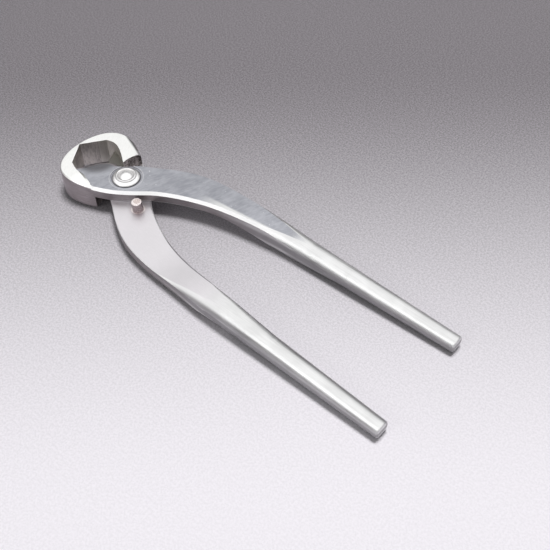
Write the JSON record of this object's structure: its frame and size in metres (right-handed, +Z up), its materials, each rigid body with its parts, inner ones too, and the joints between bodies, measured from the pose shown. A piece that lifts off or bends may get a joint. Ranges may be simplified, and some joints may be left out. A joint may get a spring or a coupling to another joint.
{
  "type": "root cutter",
  "caption": "Forged steel root cutter: riveted levers with end-cutting jaws that close edge to edge, long round handles and a stop pin.",
  "frame": {"origin": "middle of the closed tool's outline, level with the lowest point of the rivet's lower dome", "axes": "+X from the jaws towards the handle ends, +Y towards the upper lever's handle, +Z up, square to the levers' mating plane"},
  "size_m": [0.205, 0.0614, 0.0165],
  "materials": {
    "lever_steel": "satin, ground and brushed",
    "rivet_steel": "turned satin",
    "pin_steel": "satin"
  },
  "bodies": {
    "lower_half": {"lower_lever": "lever_steel", "stop_pin": "pin_steel", "pivot_rivet": "rivet_steel", "lower_washer": "rivet_steel", "upper_washer": "rivet_steel"},
    "upper_half": {"upper_lever": "lever_steel"}
  },
  "joints": [
    {"name": "pivot", "type": "hinge", "parent": "lower_half", "child": "upper_half", "pos_m": [-0.0681, 0, 0.00825], "axis": [0, 0, 1], "range_deg": [0, 32]}
  ]
}
